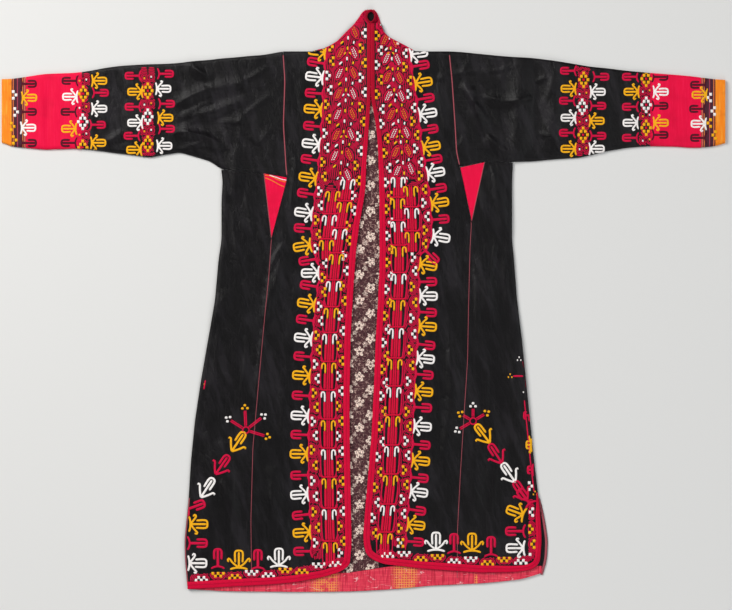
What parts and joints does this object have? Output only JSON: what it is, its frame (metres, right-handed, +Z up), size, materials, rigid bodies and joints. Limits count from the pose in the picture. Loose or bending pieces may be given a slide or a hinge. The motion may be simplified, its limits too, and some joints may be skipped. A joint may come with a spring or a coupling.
{
  "type": "chyrpy mantle",
  "caption": "Long dark silk women's mantle with embroidered lapels, hem and sleeves, laid out flat on its back with the sleeves spread.",
  "frame": {"origin": "on the table, under the middle of the garment's bounding box", "axes": "+X across the garment to the wearer's left, +Y up the garment to the neck, +Z up from the table"},
  "size_m": [1.446, 1.1669, 0.0136],
  "materials": {
    "dark_silk": "satin",
    "red_silk": "satin",
    "crimson_braid": "matte",
    "striped_silk": "satin",
    "yellow_silk": "satin",
    "printed_cotton": "matte",
    "facing_ikat": "matte",
    "white_thread": "satin",
    "yellow_thread": "satin",
    "orange_thread": "satin",
    "crimson_thread": "satin",
    "plum_thread": "satin",
    "pink_piping": "satin"
  },
  "bodies": {
    "root": {"back_panel": "dark_silk", "front_right": "dark_silk", "front_left": "dark_silk", "side_right": "dark_silk", "side_left": "dark_silk", "gusset_right": "red_silk", "gusset_left": "red_silk", "sleeve_right": "dark_silk", "sleeve_left": "dark_silk", "forearm_right": "red_silk", "forearm_left": "red_silk", "cuff_right": "striped_silk", "cuff_left": "striped_silk", "cuff_binding_right": "yellow_silk", "cuff_binding_left": "yellow_silk", "collar": "dark_silk", "collar_braid_right": "crimson_braid", "collar_braid_left": "crimson_braid", "tip_loop": "crimson_braid", "front_braid_right": "crimson_braid", "front_braid_left": "crimson_braid", "side_braid_right": "crimson_braid", "side_braid_left": "crimson_braid", "lining": "printed_cotton", "hem_facing": "facing_ikat"}
  },
  "joints": []
}
